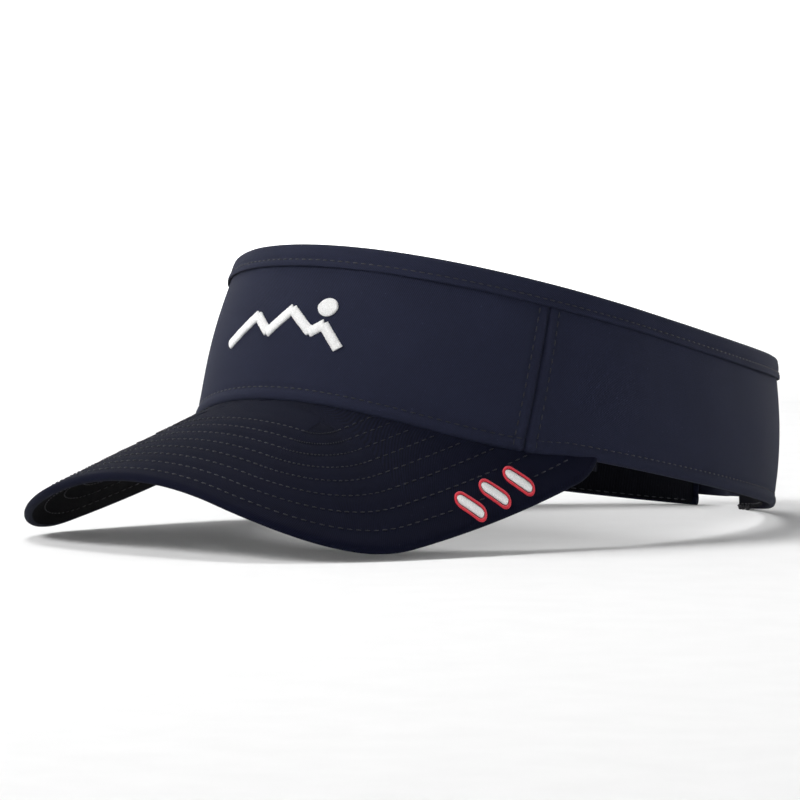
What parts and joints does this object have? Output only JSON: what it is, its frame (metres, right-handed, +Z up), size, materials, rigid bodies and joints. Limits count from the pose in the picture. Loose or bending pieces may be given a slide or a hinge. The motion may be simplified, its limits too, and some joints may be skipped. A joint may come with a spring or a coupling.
{
  "type": "sun visor",
  "caption": "Sun visor: a cloth crown band open at the top, a stiff curved brim with stitched rows, and a hook-and-loop strap at the back.",
  "frame": {"origin": "middle of the footprint, on the surface that the visor stands on", "axes": "+Z up, -Y towards the brim's front, +X towards the wearer's left"},
  "size_m": [0.1582, 0.2642, 0.0878],
  "materials": {
    "face_twill": "fine navy cotton twill, soft sheen",
    "binding_twill": "navy twill tape, folded and pressed",
    "brim_twill": "navy cotton twill over a stiff board",
    "under_brim": "dark navy twill",
    "buckram": "stiffened open weave, dark",
    "seam_tape": "woven cotton tape",
    "sweatband_knit": "brushed moisture-wicking knit",
    "foam": "soft open-cell foam",
    "board": "polyethylene brim board",
    "navy_thread": "polyester sewing thread",
    "white_satin": "raised white satin stitch",
    "red_satin": "red satin stitch",
    "strap_webbing": "navy twill-faced strap",
    "hook_pile": "hook tape",
    "loop_pile": "loop tape",
    "label_weave": "blank woven label"
  },
  "bodies": {
    "crown": {"front_panel": "face_twill", "left_side_panel": "face_twill", "right_side_panel": "face_twill", "front_stiffener": "buckram", "left_seam_tape": "seam_tape", "right_seam_tape": "seam_tape", "top_binding": "binding_twill", "sweatband": "sweatband_knit", "sweatband_foam": "foam", "maker_label": "label_weave", "care_label": "label_weave", "front_embroidery": "white_satin", "brim_top_cover": "brim_twill", "brim_bottom_cover": "under_brim", "brim_board": "board", "brim_seam_tape": "seam_tape", "brim_stitching": "navy_thread", "brim_mark_fill": "white_satin", "brim_mark_outline": "red_satin", "loop_tape": "loop_pile", "side_seam_stitching": "navy_thread", "hem_stitching": "navy_thread", "binding_stitching": "navy_thread", "sweatband_stitching": "navy_thread", "loop_tape_stitching": "navy_thread"},
    "strap": {"strap_root": "strap_webbing"},
    "tab": {"strap_tab": "strap_webbing", "hook_tape": "hook_pile", "strap_stitching": "navy_thread"}
  },
  "joints": [
    {"name": "strap_adjust", "type": "hinge", "parent": "crown", "child": "strap", "pos_m": [0, 0.08672, 0.00992], "axis": [0, 0.1432, 0.9897], "range_deg": [-7, 7]},
    {"name": "strap_peel", "type": "hinge", "parent": "strap", "child": "tab", "pos_m": [-0.0069, 0.13132, 0.01408], "axis": [-0.0158, -0.0437, -0.9989], "range_deg": [0, 110]}
  ]
}
